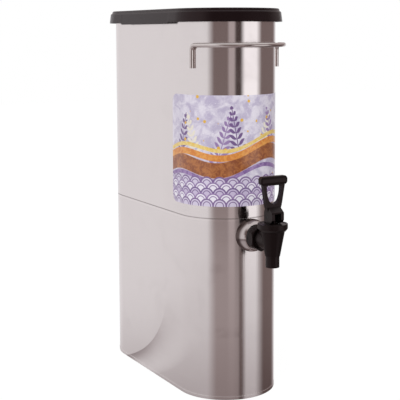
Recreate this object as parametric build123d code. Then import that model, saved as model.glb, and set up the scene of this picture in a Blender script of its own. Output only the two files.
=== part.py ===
from build123d import *
import math
import os

# Iced tea dispenser: a tall oval stainless steel tank on an open skirt, with a wire handle,
# a moulded lid that lifts off, and a spring-closed tap whose lever tilts forward.
# Millimetres, +Z up, the tap points along -Y, and the box of the whole stands on Z = 0.

# Body plan and sheet
body_width = 150.0
body_length = 356.0
sheet = 1.0
weld_gap = 0.05

# Heights of the body
seam_z = 270.0
seam_groove = 0.8
lap_depth = 9.0
lap_gap = 0.1
tank_top_z = 568.0
rim_out = 2.5
rim_height = 5.0
rim_round = 1.7
hem_height = 5.0
hem_proud = 0.4
hem_round = 0.3
hem_fold = 14.0

# Tank floor and sump
floor_sheet = 1.2
floor_drop = 8.0
floor_fall = 7.0
floor_flange = 8.0
sump_radius = 30.0
sump_depth = 36.0
sump_round = 4.8
sump_set_back = 12.0

# Lid
lid_overhang = 10.0
lid_draft = 2.6
lid_height = 19.0
lid_wall = 2.5
lid_top = 3.0
lid_shoulder = 8.0
lid_inner_round = 4.0
panel_inset = 18.0
panel_recess = 1.0
panel_round = 0.9
plug_gap = 1.0
plug_wall = 2.0
plug_depth = 12.0
side_grip_drop = 2.5
side_grip_start = 3.0
side_grip_length = 165.0

# Wire handle
wire_radius = 3.2
handle_drop = 49.0
handle_leg = 33.0
handle_leg_angle = 22.0
handle_toe_in = 8.0
handle_bend = 8.0
wire_end_round = 0.8
weld_bead = 2.2
weld_foot = 5.2
weld_pitch = 13.0

# Printed label
label_film = 0.2
label_rise = 18.0
label_height = 160.0
label_reach = 99.0
label_corner = 12.0

# Tap, along its shank
tap_drop = 25.0
tap_reach = 56.5
collar_radius = 24.0
collar_face_radius = 18.5
collar_height = 15.0
collar_swell = 1.6
spud_wall = 2.0
spud_out = 12.0
spud_in = 6.0
washer = 2.0
nut_flats = 34.0
nut_length = 13.0
nut_bevel = 2.4
nut_corner_cut = 0.4
shank_radius = 11.0
thread_gap = 0.05
shank_bore = 7.5
barrel_radius = 13.5
barrel_round = 1.0
seal_length = 1.5
seal_bore = 8.5

# Tap, up its spout
spout_radius = 9.8
spout_bore = 7.5
spout_edge = 0.6
spout_drop = 36.0
cone_drop = 20.0
cone_low_radius = 10.6
cone_rise = 16.0
cone_top_radius = 17.2
seat_drop = 13.0
chamber_low_radius = 9.8
chamber_top_radius = 14.2
chamber_ledge = 1.5
neck_radius = 15.6
neck_height = 6.0
bonnet_radius = 21.3
bonnet_rise = 26.6
bonnet_plate = 4.4
bonnet_edge = 1.0
bonnet_flare_height = 3.5
bonnet_foot = 1.4
bonnet_clamp = 2.4
flange_rise = 13.0
flange_thickness = 2.0
cup_radius = 8.6
cup_wall = 1.3
cup_base = 7.0
stem_radius = 5.0
stem_thin_radius = 3.2
stem_fit = 0.06
barb_radius = 4.4
barb_height = 1.5
spring_wire = 0.6
spring_radius = 5.4
spring_turns = 6
spring_gap = 0.2

# Lever
pin_rise = 9.4
pin_radius = 2.0
pin_fit = 0.05
press_gap = 0.01
pin_recess = 0.3
lever_width = 20.0
fork_gap = 0.3
cam_gap = 0.3
cam_lift = 4.0
cam_turn = math.radians(60.0)
cam_steps = 6
block_rear = 7.0
block_height = 14.0
block_edge = 0.8
loop_depth = 7.0
loop_neck_half = 13.0
loop_neck_height = 18.0
loop_shoulder_half = 18.0
loop_shoulder_height = 45.0
grip_half = 22.0
grip_height = 12.5
grip_depth = 9.0
grip_end_round = 5.0
grip_edge_round = 1.8
loop_edge_round = 1.2
window_half = 12.3
window_low = 17.5
window_height = 27.0
window_round = 2.6
window_waist = 0.94
window_toe = 0.62
window_toe_height = 4.3

# Places worked out from the sizes
end_radius = body_width / 2
half_length = body_length / 2
front_reach = half_length + tap_reach + bonnet_radius
rear_reach = half_length + lid_overhang
body_y = (front_reach - rear_reach) / 2
front_y = body_y - half_length
round_y = front_y + end_radius
tap_y = front_y - tap_reach
rim_z = tank_top_z - rim_height
floor_low_z = seam_z - floor_drop
handle_z = tank_top_z - handle_drop
handle_foot_z = handle_z - handle_leg
label_low_z = seam_z + label_rise
tap_z = seam_z - tap_drop
spout_low_z = tap_z - spout_drop
cone_low_z = tap_z - cone_drop
cone_top_z = tap_z + cone_rise
seat_z = tap_z - seat_drop
flange_rest_z = tap_z + flange_rise
bonnet_top_z = tap_z + bonnet_rise
pin_z = bonnet_top_z + pin_rise
lid_low_z = tank_top_z + lid_top - lid_height
lid_top_z = tank_top_z + lid_top
lap_out = sheet + lap_gap
lap_in = lap_out + sheet
spud_radius = shank_radius + thread_gap + spud_wall
sump_y = front_y + sump_set_back + sump_radius
sump_low_z = floor_low_z - sump_depth
shank_start = -(sump_set_back + spud_in - sheet - seal_length)
nut_start = collar_height + washer
barrel_start = nut_start + nut_length
neck_top_z = cone_top_z + neck_height
plate_low_z = bonnet_top_z - bonnet_plate
cam_rate = cam_lift / cam_turn
cam_rest = pin_z - bonnet_top_z - cam_gap
loop_top = loop_shoulder_height + grip_height

UP_FROM_BASE = (Align.CENTER, Align.CENTER, Align.MIN)
SHANK_FRAME = Pos(0, front_y, tap_z) * Rot(90, 0, 0)
SPOUT_FRAME = Pos(0, tap_y, 0)
PIN_FRAME = Pos(0, tap_y, pin_z)


def oval(grow, low, high):
    """The solid body plan, grown all round by a distance, between two heights."""
    plan = SlotOverall(body_length + 2 * grow, body_width + 2 * grow, rotation=90)
    return Pos(0, body_y, low) * extrude(plan, high - low)


def oval_wall(grow, wall, low, high):
    """An upright wall round the body plan, its outer face at that growth."""
    return oval(grow, low, high) - oval(grow - wall, low - 1, high + 1)


def drafted_oval(low_grow, top_grow, low, high, top_round):
    """A solid body plan that narrows upward and has a rounded top edge."""
    rings = [
        Pos(0, body_y, z) * SlotOverall(body_length + 2 * g, body_width + 2 * g, rotation=90)
        for g, z in ((low_grow, low), (top_grow, high))
    ]
    block = loft(rings, ruled=True)
    return fillet(block.edges().group_by(Axis.Z)[-1], top_round)


def turned(points):
    """A solid of revolution about Z through (radius, height) points."""
    return revolve(make_face(Plane.XZ * Polyline(*points, close=True)), Axis.Z)


def rod(radius, low, high):
    """A round bar along Z."""
    return Pos(0, 0, low) * Cylinder(radius, high - low, align=UP_FROM_BASE)


def cross_rod(radius, length):
    """A round bar along X through the origin."""
    return Rot(0, 90, 0) * Cylinder(radius, length)


def make_tank_shell():
    """Upper wall with a rolled rim above and a stepped lap below that enters the skirt."""
    wall_low = seam_z + seam_groove
    wall = oval_wall(0, sheet, wall_low, rim_z + rim_round)
    step = oval_wall(0, lap_in, wall_low, wall_low + sheet)
    lap = oval_wall(-lap_out, sheet, seam_z - lap_depth, wall_low + sheet)
    rim = oval_wall(rim_out, rim_out + sheet, rim_z, tank_top_z)
    rim_edges = rim.edges().group_by(Axis.Z)
    rim = fillet(rim_edges[0] + rim_edges[-1], rim_round)
    return wall + step + lap + rim


def make_base_skirt():
    """Open lower wall with a folded hem, and the hole that the outlet passes through."""
    wall = oval_wall(0, sheet, 0, seam_z)
    fold = oval_wall(0, 2 * sheet, 0, hem_fold)
    hem = oval(hem_proud, 0, hem_height)
    hem = fillet(hem.edges().group_by(Axis.Z)[-1], hem_round)
    hem = hem - oval(0, -1, hem_height + 1)
    hole = SHANK_FRAME * rod(spud_radius + lap_gap, -sump_set_back, sump_set_back)
    return wall + fold + hem - hole


def floor_slab(thickness):
    """A slab that falls to the front and is wider than the tank."""
    angle = math.degrees(math.atan2(floor_fall, body_length))
    slab = Pos(0, body_length / 2, 0) * Box(body_width, 2 * body_length, thickness,
                                            align=UP_FROM_BASE)
    return Pos(0, front_y, floor_low_z) * Rot(angle, 0, 0) * slab


def make_tank_bottom():
    """Floor that falls to the sump hole, with a flange that is welded inside the lap."""
    grow = -lap_in - weld_gap
    inside = oval(grow, floor_low_z - sheet, tank_top_z)
    floor = floor_slab(floor_sheet) & inside
    flange = oval_wall(grow, floor_sheet, floor_low_z, floor_low_z + floor_flange)
    hole = Pos(0, sump_y, 0) * rod(sump_radius - floor_sheet, sump_low_z, tank_top_z)
    return floor + flange - hole


def make_sump_cup():
    """Round well under the floor's low end, with the outlet hole in its front."""
    top_z = floor_low_z + floor_fall
    cup = rod(sump_radius, sump_low_z, top_z)
    cup = fillet(cup.edges().group_by(Axis.Z)[0], sump_round)
    well = rod(sump_radius - floor_sheet, sump_low_z + floor_sheet, top_z)
    well = fillet(well.edges().group_by(Axis.Z)[0], sump_round - floor_sheet)
    cup = Pos(0, sump_y, 0) * (cup - well)
    above = floor_slab(sump_depth)
    hole = SHANK_FRAME * rod(spud_radius + weld_gap, -(sump_set_back + sump_radius), 0)
    return cup - above - hole


def make_outlet_spud():
    """Threaded outlet tube that is welded in the sump and comes out through the skirt."""
    low = -(sump_set_back + spud_in)
    tube = rod(spud_radius, low, spud_out) - rod(shank_radius + thread_gap, low + sheet, spud_out)
    return SHANK_FRAME * (tube - rod(seal_bore, low - 1, spud_out))


def make_dome_collar():
    """Polished domed collar over the spud, with a back that fits the round front."""
    back = -collar_radius / 2
    inner = spud_radius + thread_gap
    bore = shank_radius + thread_gap
    mid = ((collar_radius + collar_face_radius) / 2 + collar_swell, (sheet + collar_height) / 2)
    outline = Plane.XZ * (
        Polyline((collar_face_radius, collar_height), (bore, collar_height),
                 (bore, spud_out + lap_gap), (inner, spud_out + lap_gap),
                 (inner, back), (collar_radius, back), (collar_radius, sheet))
        + ThreePointArc((collar_radius, sheet), mid, (collar_face_radius, collar_height))
    )
    dome = SHANK_FRAME * revolve(make_face(outline), Axis.Z)
    return dome - oval(weld_gap, 0, seam_z)


def make_shank_washer():
    """Flat washer between the dome collar and the nut."""
    inner = shank_radius + thread_gap
    ring = rod(collar_face_radius - sheet, collar_height, nut_start) - rod(inner, 0, nut_start)
    return SHANK_FRAME * ring


def make_jam_nut():
    """Hexagon nut with rounded corners that locks the tap's shank."""
    hexagon = RegularPolygon(nut_flats / 2, 6, major_radius=False, rotation=30)
    block = Pos(0, 0, nut_start) * extrude(hexagon, nut_length)
    corner = nut_flats / math.sqrt(3) - nut_corner_cut
    face = corner - nut_bevel
    round_off = turned([
        (0, nut_start), (face, nut_start), (corner, nut_start + nut_bevel),
        (corner, barrel_start - nut_bevel), (face, barrel_start), (0, barrel_start),
    ])
    return SHANK_FRAME * ((block & round_off) - rod(shank_radius + thread_gap, 0, barrel_start + 1))


def make_shank_seal():
    """Soft ring between the end of the shank and the shoulder in the spud."""
    ring = rod(shank_radius, shank_start - seal_length, shank_start)
    return SHANK_FRAME * (ring - rod(seal_bore, shank_start - seal_length, shank_start))


def make_tap_body():
    """Threaded shank and barrel that lead into the tapered spout and its valve chamber."""
    spout = turned([
        (0, spout_low_z), (spout_radius - spout_edge, spout_low_z),
        (spout_radius, spout_low_z + spout_edge),
        (spout_radius, cone_low_z), (cone_low_radius, cone_low_z), (cone_top_radius, cone_top_z),
        (neck_radius, cone_top_z), (neck_radius, neck_top_z), (0, neck_top_z),
    ])
    chamber = turned([
        (0, spout_low_z - 1), (spout_bore, spout_low_z - 1), (spout_bore, seat_z),
        (chamber_low_radius, seat_z), (chamber_top_radius - chamber_ledge, flange_rest_z),
        (chamber_top_radius, flange_rest_z), (chamber_top_radius, neck_top_z + 1),
        (0, neck_top_z + 1),
    ])
    barrel = rod(barrel_radius, barrel_start + weld_gap, tap_reach)
    barrel = fillet(barrel.edges().group_by(Axis.Z)[0], barrel_round)
    shank = rod(shank_radius, shank_start, tap_reach)
    solid = SPOUT_FRAME * spout + SHANK_FRAME * (barrel + shank)
    solid = solid - SPOUT_FRAME * chamber
    return solid - SHANK_FRAME * rod(shank_bore, shank_start - 1, tap_reach)


def make_tap_bonnet():
    """Screwed cap that clamps the seat cup's flange and guides the stem."""
    guide = stem_radius + stem_fit
    clamp_z = flange_rest_z + flange_thickness
    inner = neck_radius + thread_gap
    lip_z = cone_top_z + lap_gap
    clamp_radius = chamber_top_radius - lap_gap
    return SPOUT_FRAME * turned([
        (guide, bonnet_top_z), (bonnet_radius - bonnet_edge, bonnet_top_z),
        (bonnet_radius, bonnet_top_z - bonnet_edge), (bonnet_radius, lip_z + bonnet_flare_height),
        (cone_top_radius + bonnet_foot, lip_z), (inner, lip_z),
        (inner, neck_top_z + lap_gap), (clamp_radius, neck_top_z + lap_gap),
        (clamp_radius, clamp_z), (clamp_radius - bonnet_clamp, clamp_z),
        (clamp_radius - bonnet_clamp, plate_low_z), (guide, plate_low_z),
    ])


def make_seat_cup():
    """Soft bell that closes the seat, clamped by its flange under the bonnet."""
    inner = cup_radius - cup_wall
    floor_z = seat_z + cup_base
    barb_z = seat_z + cup_base / 2
    neck = stem_thin_radius + stem_fit
    clamp_z = flange_rest_z + flange_thickness
    return SPOUT_FRAME * turned([
        (0, seat_z), (cup_radius, seat_z), (cup_radius, flange_rest_z),
        (chamber_top_radius - lap_gap, flange_rest_z), (chamber_top_radius - lap_gap, clamp_z),
        (inner, clamp_z), (inner, floor_z), (neck, floor_z), (neck, barb_z + stem_fit),
        (barb_radius + stem_fit, barb_z + stem_fit),
        (barb_radius + stem_fit, barb_z - barb_height - stem_fit), (0, barb_z - barb_height - stem_fit),
    ])


def make_valve_stem():
    """Stem with a barb in the seat cup, a guided shaft, and the cross hole for the pin."""
    barb_z = seat_z + cup_base / 2
    shaft = rod(stem_radius, plate_low_z - cam_lift - sheet, pin_z)
    shaft = shaft + Pos(0, 0, pin_z) * Sphere(stem_radius)
    thin = rod(stem_thin_radius, barb_z - sheet, pin_z - stem_radius)
    barb = rod(barb_radius, barb_z - barb_height, barb_z)
    hole = Pos(0, 0, pin_z) * cross_rod(pin_radius + pin_fit, 3 * stem_radius)
    return SPOUT_FRAME * (shaft + thin + barb - hole)


def make_return_spring():
    """Compression spring round the stem, from the cup's floor to the bonnet's plate."""
    low = seat_z + cup_base + spring_wire + spring_gap
    high = plate_low_z - spring_wire - spring_gap
    path = Helix((high - low) / spring_turns, high - low, spring_radius)
    section = Plane(origin=path @ 0, z_dir=path % 0) * Circle(spring_wire)
    return SPOUT_FRAME * Pos(0, 0, low) * sweep(section, path=path, is_frenet=True)


def cam_point(turn):
    """Point of the lever's cam that meets the bonnet when the lever has turned that far."""
    reach = cam_rest + cam_rate * turn
    y = -reach * math.sin(turn) - cam_rate * math.cos(turn)
    z = -reach * math.cos(turn) + cam_rate * math.sin(turn)
    return (y, z)


def make_lever_block():
    """Forked foot of the lever, whose cam lifts the stem as the lever tilts."""
    cam = [cam_point(cam_turn * i / cam_steps) for i in range(cam_steps + 1)]
    nose_y = cam[-1][0]
    half_depth = loop_depth / 2
    shoulder = block_height / 2
    outline = (
        Spline(*cam)
        + Polyline(cam[-1], (nose_y, shoulder), (-half_depth, block_height),
                   (half_depth, block_height), (block_rear, shoulder),
                   (block_rear, -cam_rest), cam[0])
    )
    side = make_face(Plane.YZ * outline)
    block = extrude(side, lever_width / 2, both=True)
    crown = block.edges().filter_by(Axis.X).filter_by(lambda e: e.center().Z > 0)
    block = chamfer(crown, block_edge)
    fork = 2 * (stem_radius + fork_gap)
    slot_top = stem_radius + 2 * fork_gap
    slot_depth = 4 * block_height
    slot = Pos(0, 0, slot_top - slot_depth / 2) * Box(fork, slot_depth, slot_depth)
    return block - slot


def mirrored(points):
    """The left side of a symmetric outline, in return order."""
    return [(-x, z) for x, z in reversed(points)]


def make_lever_loop():
    """Open loop of the lever with a thick cross grip on top."""
    right = [(lever_width / 2, block_height / 2), (loop_neck_half, loop_neck_height),
             (loop_shoulder_half, loop_shoulder_height + grip_edge_round)]
    outer = make_face(Plane.XZ * Polyline(*right, *mirrored(right), close=True))
    loop = extrude(outer, loop_depth / 2, both=True)
    flanks = loop.edges().filter_by(lambda e: abs(e.center().X) > lever_width / 2)
    loop = fillet(flanks.filter_by(lambda e: abs(e.tangent_at(0).Z) > 0.5), loop_edge_round)
    grip = Box(2 * grip_half, grip_depth, grip_height)
    grip = fillet(grip.edges().filter_by(Axis.Y), grip_end_round)
    grip = fillet(grip.edges(), grip_edge_round)
    grip = Pos(0, 0, loop_top - grip_height / 2) * grip
    right = [(window_half * window_toe, window_low + window_toe_height),
             (window_half * window_waist, window_low + window_height / 2),
             (window_half, window_low + window_height)]
    window = make_face(Plane.XZ * Polyline((0, window_low), *right, *mirrored(right), close=True))
    window = fillet(window.vertices(), window_round)
    hole = extrude(window, grip_depth, both=True)
    return loop + grip - hole


def make_tap_lever():
    """The whole lever, with its pin hole through both sides of the fork."""
    lever = make_lever_block() + make_lever_loop()
    lever = lever - cross_rod(pin_radius, lever_width + 2)
    return PIN_FRAME * lever


def make_lever_pin():
    """Cross pin that joins the lever to the stem."""
    return PIN_FRAME * cross_rod(pin_radius - press_gap, lever_width - 2 * pin_recess)


def make_carry_handle():
    """Bent wire whose legs are welded to the round front, with its weld beads."""
    turn = math.radians(handle_leg_angle)
    toe = math.radians(handle_toe_in)
    stand = end_radius + wire_radius + weld_gap
    leg = Vector(-stand * math.cos(turn), round_y - stand * math.sin(turn), handle_foot_z)
    ahead = Vector(math.sin(toe), -math.cos(toe), 0)
    up = Vector(0, 0, 1)
    bend_low = leg + up * (handle_z - handle_bend - handle_foot_z)
    centre = bend_low + ahead * handle_bend
    bend_mid = centre + (up - ahead).normalized() * handle_bend
    bend_end = centre + up * handle_bend
    radius = -bend_end.X / math.cos(toe)
    front = Vector(0, bend_end.Y + radius * math.sin(toe) - radius, handle_z)

    def flip(point):
        return Vector(-point.X, point.Y, point.Z)

    path = Wire([
        Edge.make_line(leg, bend_low),
        Edge.make_three_point_arc(bend_low, bend_mid, bend_end),
        Edge.make_three_point_arc(bend_end, front, flip(bend_end)),
        Edge.make_three_point_arc(flip(bend_end), flip(bend_mid), flip(bend_low)),
        Edge.make_line(flip(bend_low), flip(leg)),
    ])
    wire = sweep(Plane(origin=leg, z_dir=up) * Circle(wire_radius), path=path)
    length = path.length
    print("handle wire", round(length, 1), "mm long, volume ratio",
          round(wire.volume / (length * math.pi * wire_radius ** 2), 4))
    wire = fillet(wire.edges().group_by(Axis.Z)[0], wire_end_round)
    for side in (leg, flip(leg)):
        inward = Vector(-side.X, round_y - side.Y, 0).normalized()
        for i in range(2):
            at = side + inward * wire_radius + up * (weld_foot + weld_pitch * i)
            wire = wire + Pos(at.X, at.Y, at.Z) * Sphere(weld_bead)
    return wire - oval(weld_gap / 2, 0, tank_top_z)


def make_front_label():
    """Thin printed film round the front of the tank."""
    film = oval_wall(label_film + weld_gap / 2, label_film, label_low_z, label_low_z + label_height)
    keep = Pos(0, front_y + label_reach - body_length / 2, label_low_z) * Box(
        2 * body_width, body_length, label_height, align=UP_FROM_BASE)
    film = film & keep
    corners = [e for e in film.edges().filter_by(Axis.X) if e.length < 2 * label_film]
    return fillet(corners, label_corner)


def make_lid():
    """Moulded lid with a skirt over the rim, a plug inside it and deeper finger grips."""
    top_grow = lid_overhang - lid_draft
    outer = drafted_oval(lid_overhang, top_grow, lid_low_z, lid_top_z, lid_shoulder)
    hollow = drafted_oval(lid_overhang - lid_wall, top_grow - lid_wall, lid_low_z - sheet,
                          tank_top_z, lid_inner_round)
    plug_out = -sheet - plug_gap
    plug = oval_wall(plug_out, plug_wall, tank_top_z - plug_depth, tank_top_z + lid_top / 2)
    grip = oval_wall(lid_overhang, lid_wall, lid_low_z - side_grip_drop, lid_low_z + sheet)
    keep = Pos(0, round_y + side_grip_start + side_grip_length / 2, lid_low_z) * Box(
        2 * body_width, side_grip_length, lid_height)
    panel = oval(top_grow - panel_inset, lid_top_z - panel_recess, lid_top_z + 1)
    panel = fillet(panel.edges().group_by(Axis.Z)[0], panel_round)
    return outer - hollow + plug + (grip & keep) - panel


makers = {
    "tank_shell": make_tank_shell,
    "tank_bottom": make_tank_bottom,
    "sump_cup": make_sump_cup,
    "base_skirt": make_base_skirt,
    "carry_handle": make_carry_handle,
    "front_label": make_front_label,
    "outlet_spud": make_outlet_spud,
    "dome_collar": make_dome_collar,
    "shank_washer": make_shank_washer,
    "jam_nut": make_jam_nut,
    "shank_seal": make_shank_seal,
    "tap_body": make_tap_body,
    "tap_bonnet": make_tap_bonnet,
    "seat_cup": make_seat_cup,
    "valve_stem": make_valve_stem,
    "return_spring": make_return_spring,
    "tap_lever": make_tap_lever,
    "lever_pin": make_lever_pin,
    "lid": make_lid,
}

os.makedirs("parts", exist_ok=True)
for name, make in makers.items():
    solid = make()
    export_step(solid, f"parts/{name}.step")
    box = solid.bounding_box()
    print(name, "volume", round(solid.volume), "size", [round(v, 1) for v in box.size])
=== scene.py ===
# %% [markdown]
# # An oval iced tea dispenser
#
# The real dispenser is a narrow oval tank of brushed stainless steel on an open skirt of the same
# plan. A black lid drops over its rim, a bent wire handle is welded round the front, a printed film
# wraps the front, and a black spring-closed tap pours from the low front.
#
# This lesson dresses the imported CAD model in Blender. The model is loaded as a fixed frame, in
# metres, with +Z up and the tap pointing along -Y. Each new piece is built where its CAD node
# stands, rides on the same body, and takes that node's place in the picture.

# %% Load the frame and read the body plan
import math

import bmesh
import bpy
from mathutils import Matrix, Vector


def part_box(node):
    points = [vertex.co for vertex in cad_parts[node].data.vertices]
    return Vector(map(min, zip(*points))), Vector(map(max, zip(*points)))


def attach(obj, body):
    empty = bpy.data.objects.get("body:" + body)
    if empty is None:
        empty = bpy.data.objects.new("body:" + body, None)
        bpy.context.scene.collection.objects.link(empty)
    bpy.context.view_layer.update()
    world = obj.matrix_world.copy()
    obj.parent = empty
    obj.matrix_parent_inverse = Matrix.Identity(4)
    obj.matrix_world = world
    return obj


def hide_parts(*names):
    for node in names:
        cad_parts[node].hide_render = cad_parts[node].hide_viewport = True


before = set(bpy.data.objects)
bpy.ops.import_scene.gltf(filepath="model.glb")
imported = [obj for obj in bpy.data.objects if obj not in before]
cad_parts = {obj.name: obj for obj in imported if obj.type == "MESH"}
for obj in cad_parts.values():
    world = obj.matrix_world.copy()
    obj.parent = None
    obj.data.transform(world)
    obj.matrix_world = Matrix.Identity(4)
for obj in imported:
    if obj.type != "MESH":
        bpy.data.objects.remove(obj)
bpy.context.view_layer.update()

MM = 0.001
rim_out = 2.5 * MM
shell_low, shell_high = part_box("tank_shell")
end_radius = (shell_high.x - shell_low.x) / 2 - rim_out
front_y = shell_low.y + rim_out
front_axis = front_y + end_radius
rear_axis = shell_high.y - rim_out - end_radius
straight = rear_axis - front_axis
body_y = (front_axis + rear_axis) / 2
seam_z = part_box("base_skirt")[1].z
tank_top = shell_high.z
print("end radius", round(end_radius, 4), "straight side", round(straight, 4),
      "seam", round(seam_z, 4))

# %% [markdown]
# ## Camera
#
# The photograph looks a little down on the dispenser from its front left, through a long lens. Its
# upright edges stay almost parallel, which a downward tilt alone would not give, so the lens is
# shifted down by about a ninth of the frame, as on a studio camera with a sliding back.

# %% Camera
camera_place = Vector((-0.7648, -1.3602, 0.53575))
camera_turn = math.radians(-29.22)
camera_tilt = math.radians(90 - 6.96)
camera_roll = math.radians(-0.18)

camera_data = bpy.data.cameras.new("camera")
camera_data.lens = 90.55
camera_data.sensor_width = 36
camera_data.shift_y = -0.11
camera = bpy.data.objects.new("camera", camera_data)
camera.matrix_world = (
    Matrix.Translation(camera_place)
    @ Matrix.Rotation(camera_turn, 4, "Z")
    @ Matrix.Rotation(camera_tilt, 4, "X")
    @ Matrix.Rotation(camera_roll, 4, "Z")
)
bpy.context.scene.collection.objects.link(camera)
bpy.context.scene.camera = camera
bpy.context.scene.view_settings.view_transform = "Standard"
print("camera to body", round((camera_place - Vector((0, body_y, tank_top / 2))).length, 3), "m")

# %% [markdown]
# ## Shader nodes in one line each
#
# Every material and the world are built from nodes. A small helper adds a node, sets its options,
# and fills its sockets either with a value or with a link, so a material reads from top to bottom.

# %% Node helpers
def add(tree, kind, sockets=None, **options):
    """Add a shader node with its options, and fill its sockets with values or links."""
    made = tree.nodes.new("ShaderNode" + kind)
    for name, value in options.items():
        setattr(made, name, value)
    for name, value in (sockets or {}).items():
        if isinstance(value, bpy.types.NodeSocket):
            tree.links.new(value, made.inputs[name])
        else:
            made.inputs[name].default_value = value
    return made


def maths(tree, operation, *values):
    """One Math node, and its result."""
    sockets = dict(enumerate(values))
    return add(tree, "Math", sockets, operation=operation).outputs[0]


def span(tree, value, low, high, to_low=0.0, to_high=1.0):
    """A value carried smoothly from one range to another."""
    sockets = {0: value, 1: low, 2: high, 3: to_low, 4: to_high}
    return add(tree, "MapRange", sockets, interpolation_type="SMOOTHSTEP").outputs[0]


def blend(tree, factor, first, second, way="MIX"):
    """Two colours mixed by a factor."""
    sockets = {0: factor, 6: first, 7: second}
    return add(tree, "Mix", sockets, data_type="RGBA", blend_type=way).outputs[2]


def ramp(tree, value, stops):
    """A colour ramp with (position, colour) stops."""
    made = add(tree, "ValToRGB", {0: value})
    points = made.color_ramp.elements
    while len(points) < len(stops):
        points.new(0.5)
    for point, (place, colour) in zip(points, stops):
        point.position = place
        point.color = (*colour, 1.0)
    return made.outputs[0]


# %% [markdown]
# ## Studio
#
# Steel has no colour of its own to speak of: it shows the room. The room is a plain studio on three
# levels, floor, wall and upper wall, each a few broad panels in one of five light levels. A dark
# panel beside each pale one gives the round front its bands. Only glossy rays see this room. Soft
# surfaces get an even pale light from everywhere, and the camera sees plain white, as on a
# photographer's sweep.

# %% Studio room for the reflections
light_levels = {"window": 1.2, "pale": 0.85, "dim": 0.5, "shade": 0.2, "dark": 0.06}
wall_panels = [
    ("left wall", -180, -70, "pale"), ("dark screen", -55, -25, "shade"),
    ("screen gap", -20, -10, "dim"), ("dark doorway", -5, 5, "dark"),
    ("front window", 15, 45, "window"), ("right wall", 60, 110, "shade"),
    ("rear wall", 130, 180, "pale"),
]
floor_panels = [
    ("left floor", -180, -70, "pale"), ("open floor", -50, 0, "dim"), ("door sill", 5, 10, "shade"),
    ("front floor", 20, 45, "pale"), ("right floor", 70, 110, "shade"),
    ("rear floor", 130, 180, "pale"),
]
upper_panels = [
    ("upper left wall", -180, -80, "pale"), ("dark ceiling", -60, 60, "shade"),
    ("upper right wall", 90, 180, "dim"),
]
floor_edge, upper_edge, ceiling_edge = (-0.225, -0.139), (0.05, 0.17), (0.45, 0.85)
ceiling_light = (0.9, 0.89, 0.9, 1)


def panel_stops(panels):
    """Ramp stops for panels between two compass bearings, in warmer light where they are dark."""
    stops = []
    for _, first, last, light in panels:
        level = light_levels[light]
        cool = min(1.0, level / 0.8)
        colour = (level, level * (0.68 + 0.3 * cool), level * (0.64 + 0.36 * cool))
        stops += [(first / 360 + 0.5, colour), (last / 360 + 0.5, colour)]
    return stops


world = bpy.data.worlds.new("studio")
bpy.context.scene.world = world
world.use_nodes = True
tree = world.node_tree
tree.nodes.clear()
direction = add(tree, "SeparateXYZ", {0: add(tree, "TexCoord").outputs["Generated"]})
ahead = maths(tree, "MULTIPLY", direction.outputs[1], -1.0)
bearing = maths(tree, "ARCTAN2", direction.outputs[0], ahead)
place = maths(tree, "MULTIPLY_ADD", bearing, 0.5 / math.pi, 0.5)
height = direction.outputs[2]
room = blend(tree, span(tree, height, *floor_edge),
             ramp(tree, place, panel_stops(floor_panels)),
             ramp(tree, place, panel_stops(wall_panels)))
upper = ramp(tree, place, panel_stops(upper_panels))
room = blend(tree, span(tree, height, *upper_edge), room, upper)
room = blend(tree, span(tree, height, *ceiling_edge), room, ceiling_light)
shade = maths(tree, "MAXIMUM", span(tree, height, -0.38, -0.265, 0.36, 1.0),
              span(tree, height, -0.42, -0.6, 0.38, 0.66))
warm_shade = maths(tree, "POWER", shade, 1.12)
near_floor = add(tree, "CombineXYZ", {0: shade, 1: warm_shade, 2: warm_shade})
room = blend(tree, 1.0, room, near_floor.outputs[0], "MULTIPLY")
soft = blend(tree, span(tree, height, -0.2, 0.9), (0.62, 0.6, 0.6, 1), (0.92, 0.92, 0.94, 1))
rays = add(tree, "LightPath").outputs
seen = blend(tree, rays["Is Glossy Ray"], soft, room)
white = maths(tree, "MAXIMUM", rays["Is Camera Ray"], rays["Is Transmission Ray"])
seen = blend(tree, white, seen, (1, 1, 1, 1))
back = add(tree, "Background", {"Color": seen})
add(tree, "OutputWorld", {"Surface": back.outputs[0]})
print("room panels:", len(wall_panels), "wall,", len(floor_panels), "floor,",
      len(upper_panels), "above")

# %% Key lamp and floor
key_data = bpy.data.lights.new("key_lamp", "AREA")
key_data.shape = "DISK"
key_data.size = 1.4
key_data.energy = 16
key = bpy.data.objects.new("key_lamp", key_data)
key_place, key_back = Vector((-1.1, -1.5, 1.9)), Vector((-1.1, -1.5, 1.6))
key_turn = key_back.to_track_quat("Z", "Y").to_matrix().to_4x4()
key.matrix_world = Matrix.Translation(key_place) @ key_turn
key.visible_glossy = False
bpy.context.scene.collection.objects.link(key)

floor_mesh = bpy.data.meshes.new("floor")
bm = bmesh.new()
bmesh.ops.create_grid(bm, x_segments=1, y_segments=1, size=6.0)
bm.to_mesh(floor_mesh)
bm.free()
floor = bpy.data.objects.new("floor", floor_mesh)
bpy.context.scene.collection.objects.link(floor)
floor.visible_glossy = False

paper = bpy.data.materials.new("floor_paper")
paper.use_nodes = True
tree = paper.node_tree
tree.nodes.clear()
matt = add(tree, "BsdfDiffuse", {"Color": (0.86, 0.86, 0.86, 1)})
glow = add(tree, "Emission", {"Color": (1, 1, 1, 1), "Strength": 1.04})
rays = add(tree, "LightPath").outputs
share = maths(tree, "MULTIPLY", rays["Is Camera Ray"], 0.9)
sheet = add(tree, "MixShader", {0: share, 1: matt.outputs[0], 2: glow.outputs[0]})
add(tree, "OutputMaterial", {"Surface": sheet.outputs[0]})
floor_mesh.materials.append(paper)

# %% [markdown]
# ## From an outline to a piece
#
# Almost every part here is a section carried along a path: round the oval for the sheet metal and
# the lid, or round an axis for the tap. The section is drawn as a chain of edges whose corners are
# rounded by the bevel operator, and the spin and extrude operators carry it. Normals are
# recalculated once the shape is closed, because a spin can leave it inside out.

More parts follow.
